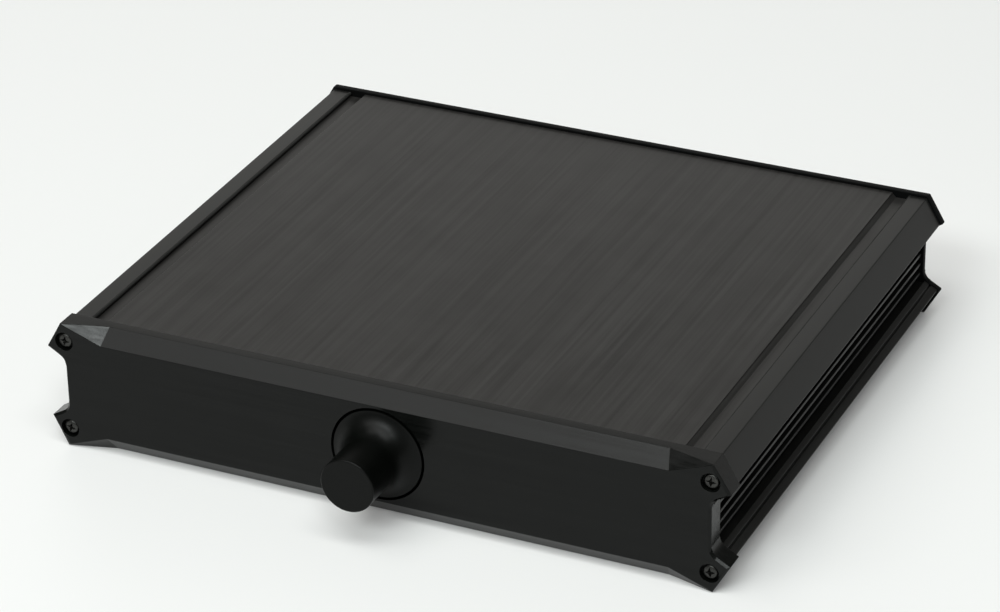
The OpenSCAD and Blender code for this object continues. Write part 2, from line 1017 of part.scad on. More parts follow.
front_panel();
rear_panel();
left_rail();
right_rail();
top_cover();
bottom_cover();
front_screws();
rear_screws();
foot_pads();
volume_knob();
knob_grub_screw();
control_shaft();
shaft_clip();
bush_plate();
bush_washer();
bush_nut();
front_housing();
rear_housing();
front_track_board();
rear_track_board();
track_terminals();
bearing_plate();
tie_screws();
front_rotor();
rear_rotor();
wiper_springs();
socket_shells();
socket_insulators();
socket_contacts();
left_channel_washers();
right_channel_washers();
inner_washers();
earth_tags();
socket_nuts();
input_cables();
output_cables();
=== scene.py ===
# %% [markdown]
# A passive preamplifier is a volume control in a box: nothing in it needs power, so the case is the show.
# This one is a low case of black anodised aluminium with a bone-shaped front panel and a trumpet-shaped
# knob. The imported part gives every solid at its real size, and the lesson below only dresses it. It
# breaks the sharp edges, turns the knob, drives the screws, gives each surface its finish and sets the
# light and the camera.

import json
import math

import bmesh
import bpy
from mathutils import Matrix, Vector


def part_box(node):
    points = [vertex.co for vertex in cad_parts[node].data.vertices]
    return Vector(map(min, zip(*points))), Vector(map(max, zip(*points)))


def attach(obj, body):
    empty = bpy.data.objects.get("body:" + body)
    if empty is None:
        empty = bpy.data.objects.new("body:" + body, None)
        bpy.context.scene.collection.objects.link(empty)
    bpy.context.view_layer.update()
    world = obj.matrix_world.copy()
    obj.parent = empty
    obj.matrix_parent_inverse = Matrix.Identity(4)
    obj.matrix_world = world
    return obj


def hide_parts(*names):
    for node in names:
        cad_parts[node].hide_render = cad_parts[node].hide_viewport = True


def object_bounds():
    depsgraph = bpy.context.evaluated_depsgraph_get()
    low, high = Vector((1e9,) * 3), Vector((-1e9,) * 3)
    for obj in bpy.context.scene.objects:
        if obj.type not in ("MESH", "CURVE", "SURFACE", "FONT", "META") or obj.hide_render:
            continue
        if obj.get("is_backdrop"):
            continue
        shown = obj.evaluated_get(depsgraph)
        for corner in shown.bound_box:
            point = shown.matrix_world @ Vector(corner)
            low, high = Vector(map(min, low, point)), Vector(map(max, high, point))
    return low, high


MM = 0.001
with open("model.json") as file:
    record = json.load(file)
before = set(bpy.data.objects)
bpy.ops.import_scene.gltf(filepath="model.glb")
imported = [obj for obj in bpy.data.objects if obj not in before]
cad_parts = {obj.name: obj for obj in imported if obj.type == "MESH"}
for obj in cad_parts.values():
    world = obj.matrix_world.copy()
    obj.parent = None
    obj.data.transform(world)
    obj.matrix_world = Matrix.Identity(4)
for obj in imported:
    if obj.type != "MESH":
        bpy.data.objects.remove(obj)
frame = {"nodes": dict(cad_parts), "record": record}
cad_low, cad_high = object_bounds()
size_mm = (cad_high - cad_low) / MM
print(f"frame: {len(frame['nodes'])} nodes, {size_mm.x:.1f} x {size_mm.y:.1f} x {size_mm.z:.1f} mm")

# %% [markdown]
# Colours are easiest to read as the hex codes of a colour picker, but shaders work in linear light, so
# one function does the conversion. Another adds a node, sets its options and fills its sockets, so that a
# whole material or a Geometry Nodes tree reads as a short list. Two more start a material and put an
# object in the scene.

# %% Helpers for colours, nodes and objects
def linear(code):
    """The linear RGBA of an sRGB hex code."""
    parts = [int(code[i:i + 2], 16) / 255 for i in (1, 3, 5)]
    return [c / 12.92 if c <= 0.04045 else ((c + 0.055) / 1.055) ** 2.4 for c in parts] + [1.0]


def add(tree, kind, inputs=None, **settings):
    """Adds one node, sets its options, and fills its sockets with values or with links."""
    made = tree.nodes.new(kind)
    for name, value in settings.items():
        setattr(made, name, value)
    for key, value in (inputs or {}).items():
        if isinstance(value, bpy.types.NodeSocket):
            tree.links.new(value, made.inputs[key])
        else:
            made.inputs[key].default_value = value
    return made


def new_material(name):
    """A material with an empty node tree."""
    material = bpy.data.materials.new(name)
    material.use_nodes = True
    material.node_tree.nodes.clear()
    return material


def new_object(name, data):
    """An object in the scene that holds a mesh, a lamp or a camera."""
    made = bpy.data.objects.new(name, data)
    bpy.context.scene.collection.objects.link(made)
    return made


print("mid grey #808080 is", round(linear("#808080")[0], 3), "in linear light")

# %% [markdown]
# Nearly every finish here is a base colour with a fine grain in it: brush lines on the covers, die lines
# on the rails, the frost of moulded plastic. The grain is one noise whose cells have a real size in
# millimetres, and cells that are long one way make lines. The same noise shades the colour, breaks up the
# gloss and lifts the surface by a few micrometres, so that the three agree as they do on the real thing.
# A slower noise adds the faint clouds of a large surface. A turned piece measures its grain by the
# distance from its axis instead, which bends the grain into rings.

# %% A grained finish
MICRON = 1e-6
CLOUD_MM = 16.0
CLOUD_SHARE = 0.35  # how much of the clouds is added to the grain
DARK_END, LIGHT_END = 0.45, 0.9  # the sums of grain and clouds that give the two ends of a finish


def grained(name, dark, light, grain_mm, rough, lift_um, fixed=None, axis=None):
    """A material with one grain, whose cells have one size or a size each along X, Y and Z.

    dark and light are hex codes, rough is a range, fixed holds other shader values, and axis is a point on
    the axis of a turned piece.
    """
    material = new_material(name)
    tree = material.node_tree
    place = add(tree, "ShaderNodeTexCoord").outputs["Object"]
    if axis is not None:
        off = add(tree, "ShaderNodeVectorMath", {0: place, 1: axis}, operation="SUBTRACT").outputs[0]
        flat = add(tree, "ShaderNodeVectorMath", {0: off, 1: (1, 0, 1)}, operation="MULTIPLY").outputs[0]
        radius = add(tree, "ShaderNodeVectorMath", {0: flat}, operation="LENGTH").outputs["Value"]
        along = add(tree, "ShaderNodeSeparateXYZ", {0: off}).outputs["Y"]
        place = add(tree, "ShaderNodeCombineXYZ", {"X": radius, "Y": along}).outputs[0]
    sizes = grain_mm if isinstance(grain_mm, tuple) else (grain_mm, grain_mm, grain_mm)
    scale = [1 / (size * MM) for size in sizes]
    cells = add(tree, "ShaderNodeMapping", {"Vector": place, "Scale": scale}).outputs[0]
    grain = add(tree, "ShaderNodeTexNoise", {
        "Vector": cells, "Scale": 1.0, "Detail": 2.0, "Roughness": 0.5}).outputs[0]
    cloud = add(tree, "ShaderNodeTexNoise", {
        "Vector": place, "Scale": 1 / (CLOUD_MM * MM), "Detail": 3.0}).outputs[0]
    both = add(tree, "ShaderNodeMath", {
        0: cloud, 1: CLOUD_SHARE, 2: grain}, operation="MULTIPLY_ADD").outputs[0]
    ends = {"Value": both, "From Min": DARK_END, "From Max": LIGHT_END}
    share = add(tree, "ShaderNodeMapRange", ends).outputs[0]
    # A Mix node has its colours in sockets 6 and 7, and gives the mixed colour in its output 2.
    colour = add(tree, "ShaderNodeMix", {
        0: share, 6: linear(dark), 7: linear(light)}, data_type="RGBA").outputs[2]
    gloss = add(tree, "ShaderNodeMapRange", {**ends, "To Min": rough[0], "To Max": rough[1]}).outputs[0]
    bump = add(tree, "ShaderNodeBump", {
        "Height": grain, "Strength": 1.0, "Distance": lift_um * MICRON}).outputs[0]
    shader = add(tree, "ShaderNodeBsdfPrincipled", {
        "Base Color": colour, "Roughness": gloss, "Normal": bump, **(fixed or {})})
    add(tree, "ShaderNodeOutputMaterial", {"Surface": shader.outputs[0]})
    return material


print(f"each finish has a grain of its own under clouds of {CLOUD_MM:.0f} mm")

# %% [markdown]
# The case is aluminium under a dyed oxide layer. The layer is porous and soaks up light, so head on it is
# nearly black, and only at a low angle does it mirror the room as a grey sheen. That is a dielectric with
# a low index, not a mirror metal. The covers were brushed from front to back, the front panel along its
# length, and the rails show the faint lines of the die they were drawn through. Real brush lines are
# under 0.1 mm wide, too fine to show in the picture, so they are drawn 0.5 to 1.3 mm wide.

# %% Anodised finishes
BRUSH, BRUSH_LONG = 1.3, 90.0  # width and length of a brush line in mm
DIE, DIE_LONG = 0.5, 80.0  # and of a die line
knob_mid = sum(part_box("volume_knob"), Vector()) / 2
# A soft grey sheen, with lines from front to back
cover_brushed = grained("brushed black anodised cover", "#1e1d1c", "#2d2c2b", (BRUSH, BRUSH_LONG, BRUSH),
                        (0.28, 0.34), 1, {"IOR": 1.215})
# A deep black with the most gloss, and lines from side to side
panel_brushed = grained("brushed black anodised panel", "#060706", "#0c0d0c", (BRUSH_LONG, BRUSH, BRUSH),
                        (0.14, 0.27), 1.5, {"IOR": 1.25})
# Satin, with faint lines along the rail
rail_drawn = grained("drawn black anodised rail", "#121211", "#1a1a19", (DIE, DIE_LONG, DIE),
                     (0.28, 0.38), 4, {"IOR": 1.28})
# Dull and even, with no lines
rear_matte = grained("bead-blasted black anodised plate", "#040505", "#080808", 0.25,
                     (0.55, 0.68), 5, {"IOR": 1.19})
# The darkest of the five, with fine rings round the axis
knob_turned = grained("turned black anodised knob", "#030403", "#060706", 0.3,
                      (0.33, 0.40), 2, {"IOR": 1.22}, knob_mid)
anodised = (cover_brushed, panel_brushed, rail_drawn, rear_matte, knob_turned)
print("anodised finishes:", [finish.name for finish in anodised])

# %% [markdown]
# The small parts have their own makers' finishes. Screws are steel under black zinc, a thin and slightly
# uneven film that still glints. Sockets are turned brass with gold plating, the brightest thing on the
# case, beside washers of clean moulded nylon. The volume control behind the panel has a plated zinc
# casting, dull resin rings, brown laminated boards and springs of rolled bronze. Rubber feet hardly shine
# at all. Each has a grain and a gloss of its own, from the same function.

# %% Finishes of the small parts
METAL = {"Metallic": 1.0}
finishes = {
    "panel_black_anodised": panel_brushed,
    "rear_black_anodised": rear_matte,
    "rail_black_anodised": rail_drawn,
    "cover_brushed_black": cover_brushed,
    "knob_black_anodised": knob_turned,
    "screw_black_steel": grained("black zinc steel", "#333332", "#4a4a48", 0.3, (0.28, 0.45), 4, METAL),
    "foot_rubber": grained("moulded black rubber", "#101010", "#1a1a1a", 0.4, (0.7, 0.85), 15),
    "shaft_steel": grained(
        "turned bright steel", "#a9a9ac", "#c6c6c8", (0.2, 6.0, 0.2), (0.2, 0.32), 2, METAL),
    "zinc_casting": grained("nickel-plated zinc casting", "#8f8f90", "#a8a8a8", 0.6, (0.35, 0.5), 6, METAL),
    "plated_brass": grained("nickel-plated brass", "#b4b1aa", "#c8c5bd", 0.3, (0.18, 0.3), 2, METAL),
    "housing_resin": grained("moulded blue-black resin", "#182230", "#233040", 0.5, (0.45, 0.6), 8),
    "board_phenolic": grained(
        "brown phenolic laminate", "#5a3315", "#7a4a22", (3.0, 0.4, 3.0), (0.45, 0.6), 6),
    "tinned_brass": grained("tinned brass strip", "#b9b5a8", "#cfccc0", 0.4, (0.28, 0.42), 3, METAL),
    "rotor_acetal": grained("moulded acetal", "#d9d6cb", "#e6e4da", 0.8, (0.35, 0.5), 4),
    "spring_bronze": grained(
        "rolled bronze strip", "#b07e38", "#c9974c", (0.2, 0.2, 3.0), (0.25, 0.4), 2, METAL),
    "socket_gold": grained(
        "gold-plated turned brass", "#c99a45", "#dcb25e", (0.5, 0.12, 0.5), (0.16, 0.26), 1, METAL),
    "socket_ptfe": grained("turned white fluoropolymer", "#e2e2dd", "#eeeee9", 0.6, (0.4, 0.55), 3),
    "washer_white_nylon": grained("moulded white nylon", "#dcdcd8", "#e8e8e4", 0.7, (0.4, 0.52), 5),
    "washer_red_nylon": grained("moulded red nylon", "#8e1712", "#a8211b", 0.7, (0.4, 0.52), 5),
    "washer_black_nylon": grained("moulded black nylon", "#151515", "#202020", 0.7, (0.45, 0.6), 5),
    "cable_pvc": grained(
        "extruded grey cable jacket", "#202022", "#2c2c2e", (0.5, 12.0, 0.5), (0.45, 0.6), 5),
}
slot_of = {part["node"]: part["material_slot"] for part in frame["record"]["subparts"]}
for name, solid in frame["nodes"].items():
    solid.data.materials.clear()
    solid.data.materials.append(finishes[slot_of[name]])
print("finished", len(slot_of), "nodes with", len(finishes), "materials")

# %% [markdown]
# A solid straight from a drawing has edges of no width, which never catch the light. Every machined edge
# is broken by a tenth of a millimetre or more, and that thin line of reflection is what makes metal look
# like metal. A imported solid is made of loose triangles, so a copy is merged first, its flat faces are
# joined up, and a Bevel modifier rounds what is left. A weight on some edges can keep a bevel to those
# alone. Normals weighted by area keep the flat faces flat. The plain mesh that comes out stands in for
# the solid.

# %% Helpers for broken edges
SHARP = math.radians(11)  # an edge that turns by more than this is broken
LEVEL = math.radians(0.2)  # faces that meet at less than this are one flat face
SAME_PLANE = 1e-4  # triangles that meet at less than this, in radians, share a plane
NEAR = 1e-5  # places closer than this, in metres, are the same
FLAT_STEPS, ROUND_STEPS = 1, 2  # faces across a flat bevel, and across a small round one


def merged_copy(node, join_mm):
    """A mesh with a solid's triangles joined up, and each flat face in as few pieces as it can have."""
    work = bmesh.new()
    work.from_mesh(frame["nodes"][node].data)
    bmesh.ops.remove_doubles(work, verts=work.verts, dist=join_mm * MM)
    flat = [e for e in work.edges if len(e.link_faces) == 2 and e.calc_face_angle() < SAME_PLANE]
    bmesh.ops.beautify_fill(work, faces=work.faces, edges=flat, method="ANGLE")
    bmesh.ops.dissolve_limit(work, angle_limit=LEVEL, verts=work.verts, edges=work.edges)
    for face in work.faces:
        face.smooth = True
    return work


def middle_of(edge):
    """The point halfway along an edge."""
    return (edge.verts[0].co + edge.verts[1].co) / 2


def pick_edges(work, name, wanted, *facts):
    """Gives the edges that pass a test a weight that a bevel can ask for by name, and counts them."""
    layer = work.edges.layers.float.new(name)
    for edge in work.edges:
        edge[layer] = float(wanted(edge, *facts))
    return sum(edge[layer] > 0 for edge in work.edges)


def holder_of(work, name):
    """A bmesh as an object, ready for modifiers."""
    mesh = bpy.data.meshes.new(name)
    work.to_mesh(mesh)
    work.free()
    return new_object(name, mesh)


def break_edges(holder, width_mm, steps, picked=None):
    """Adds a Bevel on the edges that a weight picks out, or else on every sharp edge."""
    bevel = holder.modifiers.new("broken edges", "BEVEL")
    bevel.limit_method = "WEIGHT" if picked else "ANGLE"
    bevel.edge_weight = picked or bevel.edge_weight
    bevel.angle_limit = SHARP
    bevel.width = width_mm * MM
    bevel.segments = steps
    bevel.use_clamp_overlap = False


def keep_flat(holder):
    """Adds weighted normals, so that a wide flat face shades as flat right up to its rounded edge."""
    weighted = holder.modifiers.new("flat faces", "WEIGHTED_NORMAL")
    weighted.mode = "FACE_AREA"
    weighted.weight = 100  # a wide face counts as much as it can


print(f"edges that turn by more than {math.degrees(SHARP):.0f} degrees will be broken")

# %% [markdown]
# What the modifiers make becomes a plain mesh, which moves and exports as it stands. The evaluated result is
# copied, the holder goes, and the new piece rides on its body, stands for its solids and takes the finish of
# their slot.

# %% From a holder to a piece
def settle(holder, name, body, nodes):
    """Turns what a holder's modifiers make into a plain piece that rides on a body and stands for solids."""
    graph = bpy.context.evaluated_depsgraph_get()
    mesh = bpy.data.meshes.new_from_object(
        holder.evaluated_get(graph), preserve_all_data_layers=True, depsgraph=graph)
    bpy.data.objects.remove(holder)
    mesh.name = name
    piece = new_object(name, mesh)
    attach(piece, body)
    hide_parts(*nodes)
    for k in reversed(range(len(mesh.materials))):
        if mesh.materials[k] is None:
            mesh.materials.pop(index=k)
    if not mesh.materials:
        mesh.materials.append(finishes[slot_of[nodes[0]]])
    return piece


# %% [markdown]
# Nine nodes only need their edges broken. The grooves beside the covers have sloped walls, so there a
# flat bevel goes first: on the top of the rail's wall and, wider, into the hollow corner at the foot of
# the cover's wall. The joint where a rail meets a cover lies in shade, so the rail's sloped edge gets a
# dull dark finish that mirrors nothing: painted shade that draws the joint as a thin dark line.

# %% Pieces with broken edges
JOIN = 0.002  # corners closer than this, in mm, are one corner
EDGE_MM = {"rear_panel": 0.5, "left_rail": 0.3, "right_rail": 0.3, "top_cover": 0.15, "bottom_cover": 0.15,
           "foot_pads": 0.3, "socket_shells": 0.12, "left_channel_washers": 0.2, "right_channel_washers": 0.2}
# A groove wall's distance from the middle of the case, the depth of its edge and the width of its slope in mm
GROOVE_WALL = {"rail": (116.0, 0.0, 0.5), "cover": (109.9, 1.8, 1.4)}
JOINT_IN, JOINT_OUT, JOINT_DEEP = -0.1, 0.9, 0.7  # how far the painted shade reaches from its wall, in mm
JOINT_LEAN = 0.05  # the least that a face with painted shade leans sideways
# The joint's finish is painted shade: a dull grey with no reflection at all, so the edge reads as a dark
# line.
joint_painted_shade = grained("black anodised joint with painted shade", "#282827", "#343433", (DIE, BRUSH_LONG, DIE),
                     (0.7, 0.8), 2, {"Specular IOR Level": 0.0})


def on_wall(edge, low, high, wall_x, wall_z):
    """Whether an edge runs along a groove's wall, on the upper or the lower side of its piece."""
    middle = middle_of(edge)
    depth = min(abs(middle.z - low.z), abs(middle.z - high.z))
    return abs(depth - wall_z * MM) < NEAR and abs(abs(middle.x) - wall_x * MM) < NEAR


def paint_joint_shade(rail, wall_x, low, high):
    """Gives the faces of a rail's sloped edge the dull finish, which is painted shade for the joint."""
    rail.data.materials.append(joint_painted_shade)
    for face in rail.data.polygons:
        off = abs(face.center.x) / MM - wall_x
        depth = min(face.center.z - low.z, high.z - face.center.z) / MM
        in_joint = JOINT_IN < off < JOINT_OUT and depth < JOINT_DEEP
        face.material_index = int(in_joint and abs(face.normal.x) > JOINT_LEAN)


for node, width in EDGE_MM.items():
    low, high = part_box(node)
    wall_x, wall_z, slope = GROOVE_WALL.get(node.split("_")[1], (0, 0, 0))
    work = merged_copy(node, JOIN)
    if slope:
        pick_edges(work, "sloped", on_wall, low, high, wall_x, wall_z)
    holder = holder_of(work, node + "_holder")
    if slope:
        break_edges(holder, slope, FLAT_STEPS, "sloped")
    break_edges(holder, width, ROUND_STEPS)
    keep_flat(holder)
    piece = settle(holder, node + "_edged", "case", [node])
    if node.endswith("rail"):
        # The rail's sloped edge takes the painted shade of the joint.
        paint_joint_shade(piece, wall_x, low, high)
    print(f"{piece.name}: {len(piece.data.polygons)} faces, edges broken by {width} mm")

# %% [markdown]
# The front panel is milled from thick plate. A cutter ran round its ears and left a flat edge almost 1 mm
# wide where the front face meets the sides, which shows as a dark or a bright line according to what it
# faces. The long chamfers are crisp in front, but brushing has rounded them where they meet the top and
# the bottom, and a soft light runs along there. So the panel gets three bevels: a flat one and a round
# one on edges that are picked out by a weight of their own, and a small one on all the rest. The floor of
# the round pocket behind the knob is rougher and darker, with almost no reflection: painted shade in the
# recess.

# %% The milled front panel
PANEL_JOIN = 0.08  # corners of this solid that are closer than this, in mm, are one corner
SCREW_X, SCREW_Z = 122.7, 17.55  # a screw's place from the middle of the panel, in mm
SEAT_R, SEAT_EDGE = 3.55, 0.3  # radius of its seat, and the room round it that is kept out of the cut
EAR_X = 122.5  # the cutter ran further from the middle than this
CORNER = math.radians(60)  # the cutter's edge turns by more than this
CHAMFER_DEEP, CHAMFER_LONG = 4.7, 100.0  # depth of the long chamfers, and the least length of their edges
EAR_CUT, SOFT_EDGE, FINE_EDGE = 0.9, 0.8, 0.1  # widths of the three bevels
SOFT_STEPS = 6  # faces across the soft one
POCKET_R, POCKET_DEEP = 17.8, 1.0  # radius of the pocket, and the least depth of its floor
FLOOR_FACING = -0.9  # a face of its floor looks to the front by at least this much
front_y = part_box("front_panel")[0].y
mid_z = knob_mid.z
screws = [Vector((x, z)) * MM for x in (-SCREW_X, SCREW_X) for z in (-SCREW_Z, SCREW_Z)]


def at_depth(edge, y):
    """Whether both ends of an edge lie at one place from front to back."""
    return all(abs(v.co.y - y) < NEAR for v in edge.verts)


def round_an_ear(edge):
    """Whether an edge of the front face runs round an ear, and not round a screw's seat."""
    middle = middle_of(edge)
    from_screw = min((Vector((middle.x, middle.z - mid_z)) - s).length for s in screws)
    turns = len(edge.link_faces) == 2 and edge.calc_face_angle() > CORNER
    outside = abs(middle.x) > EAR_X * MM and from_screw >= (SEAT_R + SEAT_EDGE) * MM
    return turns and outside and at_depth(edge, front_y)


def behind_a_chamfer(edge):
    """Whether an edge is where a long chamfer meets the top or the bottom."""
    return at_depth(edge, front_y + CHAMFER_DEEP * MM) and edge.calc_length() > CHAMFER_LONG * MM


work = merged_copy("front_panel", PANEL_JOIN)
cut_flat = pick_edges(work, "flat_cut", round_an_ear)
softened = pick_edges(work, "soft_top", behind_a_chamfer)
holder = holder_of(work, "front_panel_holder")
break_edges(holder, EAR_CUT, FLAT_STEPS, "flat_cut")
break_edges(holder, SOFT_EDGE, SOFT_STEPS, "soft_top")
break_edges(holder, FINE_EDGE, ROUND_STEPS)
keep_flat(holder)
panel = settle(holder, "front_panel_milled", "case", ["front_panel"])
# The pocket's floor is darker and barely reflects: painted shade in the recess behind the knob.
pocket_painted_shade = grained("black anodised pocket with painted shade", "#020202", "#040404", 0.3,
                       (0.6, 0.7), 5, {"IOR": 1.06})
panel.data.materials.append(pocket_painted_shade)
for face in panel.data.polygons:
    off = Vector((face.center.x - knob_mid.x, face.center.z - mid_z))
    sunk = face.center.y > front_y + POCKET_DEEP * MM and off.length < POCKET_R * MM
    face.material_index = int(sunk and face.normal.y < FLOOR_FACING)
print(f"{panel.name}: {len(panel.data.polygons)} faces, {cut_flat} edges cut flat, {softened} softened")

# %% [markdown]
# A lathe gives a piece the same outline all the way round, and that rule fits in a small Geometry Nodes
# tree. The outline is a row of points, X for the radius and Y for the place along the axis. A grid has
# one row for each point and one column for each step round the axis, and every grid corner looks up its
# outline point and swings it round. Merging by distance closes the seam and the two ends, and Flip Faces
# turns the skin outwards. Spinning a mesh in code would do as well, but the tree can be used twice: once
# for the knob, and once inside the tree that makes the screws.

# %% A lathe as a Geometry Nodes tree
TOUCHING = 1e-6  # corners closer than this, in metres, are merged
CREASE = math.radians(32)  # edges that turn by more than this stay sharp


def new_tree(name, sockets):
    """A Geometry Nodes tree with named inputs, and the sockets of its input and output nodes."""
    tree = bpy.data.node_groups.new(name, "GeometryNodeTree")
    for label, kind in sockets.items():
        tree.interface.new_socket(label, in_out="INPUT", socket_type="NodeSocket" + kind)
    tree.interface.new_socket("Geometry", in_out="OUTPUT", socket_type="NodeSocketGeometry")
    return tree, add(tree, "NodeGroupInput").outputs, add(tree, "NodeGroupOutput").inputs


lathe, given, result = new_tree("lathe", {"Outline": "Geometry", "Steps": "Int"})
rows = add(lathe, "GeometryNodeAttributeDomainSize", {"Geometry": given["Outline"]}).outputs["Point Count"]
columns = add(lathe, "ShaderNodeMath", {0: given["Steps"], 1: 1.0}).outputs[0]
grid = add(lathe, "GeometryNodeMeshGrid", {"Vertices X": rows, "Vertices Y": columns}).outputs["Mesh"]
position = add(lathe, "GeometryNodeInputPosition").outputs[0]
corner = add(lathe, "ShaderNodeSeparateXYZ", {0: position}).outputs
last = add(lathe, "ShaderNodeMath", {0: rows, 1: 1.0}, operation="SUBTRACT").outputs[0]
share = add(lathe, "ShaderNodeMath", {0: corner["X"], 1: 0.5}).outputs[0]
row = add(lathe, "ShaderNodeMath", {0: share, 1: last}, operation="MULTIPLY").outputs[0]
row = add(lathe, "ShaderNodeMath", {0: row}, operation="ROUND").outputs[0]
point = add(lathe, "GeometryNodeSampleIndex", {
    "Geometry": given["Outline"], "Index": row, "Value": position},
    data_type="FLOAT_VECTOR", domain="POINT").outputs[0]
outline = add(lathe, "ShaderNodeSeparateXYZ", {0: point}).outputs
turn = add(lathe, "ShaderNodeMath", {0: corner["Y"], 1: math.tau}, operation="MULTIPLY").outputs[0]
swing = []
for wave in ("COSINE", "SINE"):
    share = add(lathe, "ShaderNodeMath", {0: turn}, operation=wave).outputs[0]
    swing.append(add(lathe, "ShaderNodeMath", {0: share, 1: outline["X"]}, operation="MULTIPLY").outputs[0])
swung = add(lathe, "ShaderNodeCombineXYZ", {"X": swing[0], "Y": swing[1], "Z": outline["Y"]}).outputs[0]
skin = add(lathe, "GeometryNodeSetPosition", {"Geometry": grid, "Position": swung}).outputs[0]
closed = add(lathe, "GeometryNodeMergeByDistance", {"Geometry": skin, "Distance": TOUCHING}).outputs[0]
closed = add(lathe, "GeometryNodeFlipFaces", {"Mesh": closed}).outputs[0]
angle = add(lathe, "GeometryNodeInputMeshEdgeAngle").outputs["Unsigned Angle"]
sharp = add(lathe, "FunctionNodeCompare", {
    0: angle, 1: CREASE}, data_type="FLOAT", operation="GREATER_THAN").outputs[0]
smooth = add(lathe, "GeometryNodeSetShadeSmooth", {"Geometry": closed}, domain="FACE").outputs[0]
creased = add(lathe, "GeometryNodeSetShadeSmooth", {
    "Geometry": smooth, "Selection": sharp, "Shade Smooth": False}, domain="EDGE").outputs[0]
lathe.links.new(creased, result["Geometry"])
print("lathe tree:", len(lathe.nodes), "nodes")

# %% [markdown]
# The knob flares like a trumpet. Its outline starts inside, on the bore for the shaft, comes out under
# the skirt, turns up round the rim, follows a hollow arc that leaves the panel almost flat and ends as a
# straight neck, and closes over the cap with a small round edge. Each bend has a point close beside it,
# so that smooth shading stays in the bend.

# %% The knob's outline
CAP, FLARE, LENGTH = 10.05, 16.8, 23.4  # radius at the cap and at the rim, and length, in mm
ARC, ARC_STEPS = 9.0, 28  # radius of the hollow arc
EDGE, EDGE_STEPS = 0.5, 5  # radius of the cap's round edge
RIM, RIM_BREAK, RIM_LAND = 2.8, 0.2, 0.1  # the rim's depth in the pocket, its broken edge and its upper end
RELIEF_R, RELIEF_Z = 8.3, 0.2  # radius and end of the hollow under the skirt
BORE_R, BORE_Z = 3.02, 15.5  # radius and end of the bore for the shaft
BESIDE = 0.3  # how close to a bend its neighbour lies
arc_z = math.sqrt(ARC ** 2 - (CAP + ARC - FLARE) ** 2)
start = math.atan2(-arc_z, FLARE - CAP - ARC)
arc_angles = [start + (math.pi + start) * -k / ARC_STEPS for k in range(ARC_STEPS + 1)]
hollow = [(CAP + ARC + ARC * math.cos(a), arc_z + ARC * math.sin(a)) for a in arc_angles]
edge_angles = [k * math.pi / (2 * EDGE_STEPS) for k in range(EDGE_STEPS + 1)]
rounded = [(CAP - EDGE + EDGE * math.cos(a), LENGTH - EDGE + EDGE * math.sin(a)) for a in edge_angles]
inside = [(0, BORE_Z), (BORE_R, BORE_Z), (BORE_R, RELIEF_Z), (RELIEF_R, RELIEF_Z), (RELIEF_R, -RIM)]
rim = [(FLARE - RIM_BREAK, -RIM), (FLARE, -RIM + RIM_BREAK), (FLARE, -RIM_LAND)]
cap = [(CAP, LENGTH - EDGE - BESIDE), *rounded, (CAP - EDGE - BESIDE, LENGTH), (CAP / 2, LENGTH), (0, LENGTH)]
knob_outline = inside + rim + hollow + cap
print("knob outline:", len(knob_outline), "points")

# %% [markdown]
# A second tree turns the outline on the lathe. The hole for the grub screw is cut with a Mesh Boolean,
# because a lathe can't make it, and the knob is then stood on its axis in the panel.

# %% The turned knob
KNOB_STEPS, DRILL_SIDES = 144, 32
GRUB_R, GRUB_Z = 1.48, 12.0  # radius of the hole for the grub screw, and its place along the knob
QUARTER = math.radians(90)


def outline_holder(points_mm, name):
    """A row of outline points as the vertices of an object."""
    mesh = bpy.data.meshes.new(name)
    steps = [(i, i + 1) for i in range(len(points_mm) - 1)]
    mesh.from_pydata([(r * MM, h * MM, 0) for r, h in points_mm], steps, [])
    return new_object(name, mesh)


def end_tree(tree, shape, finish, result):
    """Ends a tree: copies become real geometry and get their material."""
    real = add(tree, "GeometryNodeRealizeInstances", {"Geometry": shape}).outputs[0]
    dressed = add(tree, "GeometryNodeSetMaterial", {"Geometry": real, "Material": finish}).outputs[0]
    tree.links.new(dressed, result["Geometry"])


def run_tree(tree, holder, values):
    """Adds a tree to an object as a modifier and sets its inputs by their identifiers."""
    modifier = holder.modifiers.new(tree.name, "NODES")
    for item in tree.interface.items_tree:
        if item.in_out == "INPUT" and item.name in values:
            modifier[item.identifier] = values[item.name]
    modifier.node_group = tree


turned, given, result = new_tree("turned knob", {
    "Geometry": "Geometry", "Steps": "Int", "Grub Radius": "Float", "Grub Height": "Float",
    "Place": "Vector", "Finish": "Material"})
blank = add(turned, "GeometryNodeGroup", {
    "Outline": given["Geometry"], "Steps": given["Steps"]}, node_tree=lathe).outputs[0]
drill = add(turned, "GeometryNodeMeshCylinder", {
    "Vertices": DRILL_SIDES, "Radius": given["Grub Radius"], "Depth": 2 * FLARE * MM}).outputs["Mesh"]
height = add(turned, "ShaderNodeCombineXYZ", {"Y": -FLARE * MM, "Z": given["Grub Height"]}).outputs[0]
drill = add(turned, "GeometryNodeTransform", {
    "Geometry": drill, "Translation": height, "Rotation": (QUARTER, 0, 0)}).outputs[0]
bored = add(turned, "GeometryNodeMeshBoolean", {
    "Mesh 1": blank, "Mesh 2": drill}, operation="DIFFERENCE", solver="EXACT").outputs[0]
stood = add(turned, "GeometryNodeTransform", {
    "Geometry": bored, "Translation": given["Place"], "Rotation": (QUARTER, 0, 0)}).outputs[0]
end_tree(turned, stood, given["Finish"], result)
holder = outline_holder(knob_outline, "knob_outline")
run_tree(turned, holder, {
    "Steps": KNOB_STEPS, "Grub Radius": GRUB_R * MM, "Grub Height": GRUB_Z * MM,
    "Place": (knob_mid.x, front_y, mid_z), "Finish": knob_turned})
knob = settle(holder, "volume_knob_turned", "control", ["volume_knob"])
print(f"{knob.name}: {len(knob.data.polygons)} faces, {knob.dimensions.y / MM:.1f} mm long")

# %% [markdown]
# Eight pan-head screws hold the end panels. The same lathe turns one screw from its outline, two crossed
# wedges cut the driver recess, and Instance on Points puts a copy at each place with its own turn,
# because no two screws stop at the same angle.

